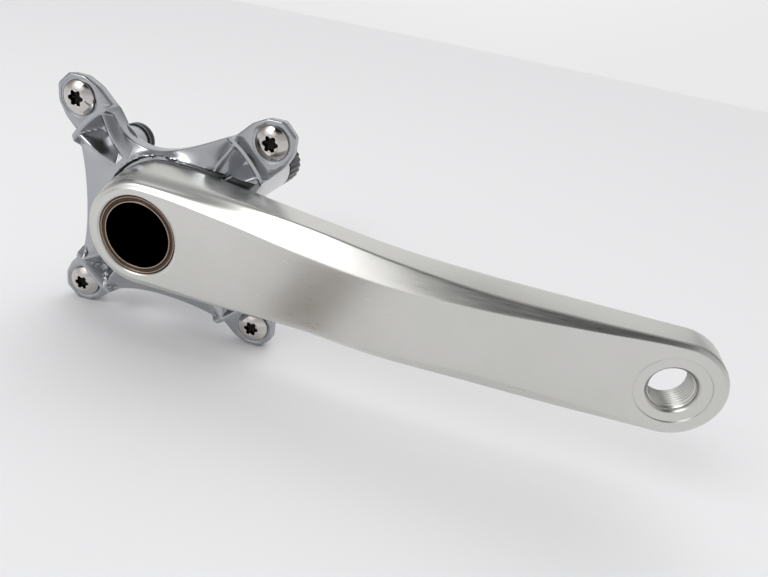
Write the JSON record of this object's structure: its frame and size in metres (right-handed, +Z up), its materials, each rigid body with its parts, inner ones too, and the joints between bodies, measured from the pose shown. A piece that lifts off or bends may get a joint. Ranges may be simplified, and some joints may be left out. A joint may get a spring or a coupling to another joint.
{
  "type": "bicycle crankset",
  "caption": "Right-hand hollow bicycle crank arm with a pressed hollow spindle, a four-arm chainring spider and its chainring bolts, with no chainrings fitted.",
  "frame": {"origin": "on the spindle axis at the bicycle's centre plane, the middle of the bottom bracket shell", "axes": "+X along the crank arm from the spindle to the pedal, +Y inboard along the spindle, so that the outboard face looks along -Y, and +Z up with the arm horizontal"},
  "size_m": [0.2415, 0.1475, 0.0898],
  "materials": {
    "satin_aluminium": "satin, finely brushed and clear anodised",
    "forged_aluminium": "satin forged surface with bright ridges",
    "spindle_steel": "turned steel, darkened at the drive end",
    "chrome_steel": "polished plate",
    "black_steel": "satin black oxide"
  },
  "bodies": {
    "crank": {"crank_arm": "satin_aluminium", "spindle": "spindle_steel", "spider": "forged_aluminium"},
    "outer_bolt_1": {"outer_bolt_1": "chrome_steel"},
    "outer_nut_1": {"outer_nut_1": "black_steel"},
    "inner_washer_1": {"inner_washer_1": "black_steel"},
    "inner_bolt_1": {"inner_bolt_1": "black_steel"},
    "outer_bolt_2": {"outer_bolt_2": "chrome_steel"},
    "outer_nut_2": {"outer_nut_2": "black_steel"},
    "inner_washer_2": {"inner_washer_2": "black_steel"},
    "inner_bolt_2": {"inner_bolt_2": "black_steel"},
    "outer_bolt_3": {"outer_bolt_3": "chrome_steel"},
    "outer_nut_3": {"outer_nut_3": "black_steel"},
    "inner_washer_3": {"inner_washer_3": "black_steel"},
    "inner_bolt_3": {"inner_bolt_3": "black_steel"},
    "outer_bolt_4": {"outer_bolt_4": "chrome_steel"},
    "outer_nut_4": {"outer_nut_4": "black_steel"},
    "inner_washer_4": {"inner_washer_4": "black_steel"},
    "inner_bolt_4": {"inner_bolt_4": "black_steel"}
  },
  "joints": [
    {"name": "outer_bolt_1_turn", "type": "hinge", "parent": "crank", "child": "outer_bolt_1", "pos_m": [0.03677, -0.0562, 0.03677], "axis": [0, -1, 0], "range_deg": [0, 1800]},
    {"name": "outer_nut_1_travel", "type": "slide", "parent": "crank", "child": "outer_nut_1", "axis": [0, 1, 0], "range_m": [0, 0.00376]},
    {"name": "inner_washer_1_travel", "type": "slide", "parent": "crank", "child": "inner_washer_1", "axis": [0, 1, 0], "range_m": [0, 0.00376]},
    {"name": "inner_bolt_1_turn", "type": "hinge", "parent": "inner_washer_1", "child": "inner_bolt_1", "pos_m": [0.02263, -0.0419, 0.02263], "axis": [0, 1, 0], "range_deg": [0, 1800]},
    {"name": "outer_bolt_2_turn", "type": "hinge", "parent": "crank", "child": "outer_bolt_2", "pos_m": [-0.03677, -0.0562, 0.03677], "axis": [0, -1, 0], "range_deg": [0, 1800]},
    {"name": "outer_nut_2_travel", "type": "slide", "parent": "crank", "child": "outer_nut_2", "axis": [0, 1, 0], "range_m": [0, 0.00376]},
    {"name": "inner_washer_2_travel", "type": "slide", "parent": "crank", "child": "inner_washer_2", "axis": [0, 1, 0], "range_m": [0, 0.00376]},
    {"name": "inner_bolt_2_turn", "type": "hinge", "parent": "inner_washer_2", "child": "inner_bolt_2", "pos_m": [-0.02263, -0.0419, 0.02263], "axis": [0, 1, 0], "range_deg": [0, 1800]},
    {"name": "outer_bolt_3_turn", "type": "hinge", "parent": "crank", "child": "outer_bolt_3", "pos_m": [-0.03677, -0.0562, -0.03677], "axis": [0, -1, 0], "range_deg": [0, 1800]},
    {"name": "outer_nut_3_travel", "type": "slide", "parent": "crank", "child": "outer_nut_3", "axis": [0, 1, 0], "range_m": [0, 0.00376]},
    {"name": "inner_washer_3_travel", "type": "slide", "parent": "crank", "child": "inner_washer_3", "axis": [0, 1, 0], "range_m": [0, 0.00376]},
    {"name": "inner_bolt_3_turn", "type": "hinge", "parent": "inner_washer_3", "child": "inner_bolt_3", "pos_m": [-0.02263, -0.0419, -0.02263], "axis": [0, 1, 0], "range_deg": [0, 1800]},
    {"name": "outer_bolt_4_turn", "type": "hinge", "parent": "crank", "child": "outer_bolt_4", "pos_m": [0.03677, -0.0562, -0.03677], "axis": [0, -1, 0], "range_deg": [0, 1800]},
    {"name": "outer_nut_4_travel", "type": "slide", "parent": "crank", "child": "outer_nut_4", "axis": [0, 1, 0], "range_m": [0, 0.00376]},
    {"name": "inner_washer_4_travel", "type": "slide", "parent": "crank", "child": "inner_washer_4", "axis": [0, 1, 0], "range_m": [0, 0.00376]},
    {"name": "inner_bolt_4_turn", "type": "hinge", "parent": "inner_washer_4", "child": "inner_bolt_4", "pos_m": [0.02263, -0.0419, -0.02263], "axis": [0, 1, 0], "range_deg": [0, 1800]}
  ],
  "couplings": [
    {"joint": "outer_nut_1_travel", "follows": "outer_bolt_1_turn", "m_per_rad": 0.00011937},
    {"joint": "inner_washer_1_travel", "follows": "inner_bolt_1_turn", "m_per_rad": 0.00011937},
    {"joint": "outer_nut_2_travel", "follows": "outer_bolt_2_turn", "m_per_rad": 0.00011937},
    {"joint": "inner_washer_2_travel", "follows": "inner_bolt_2_turn", "m_per_rad": 0.00011937},
    {"joint": "outer_nut_3_travel", "follows": "outer_bolt_3_turn", "m_per_rad": 0.00011937},
    {"joint": "inner_washer_3_travel", "follows": "inner_bolt_3_turn", "m_per_rad": 0.00011937},
    {"joint": "outer_nut_4_travel", "follows": "outer_bolt_4_turn", "m_per_rad": 0.00011937},
    {"joint": "inner_washer_4_travel", "follows": "inner_bolt_4_turn", "m_per_rad": 0.00011937}
  ]
}
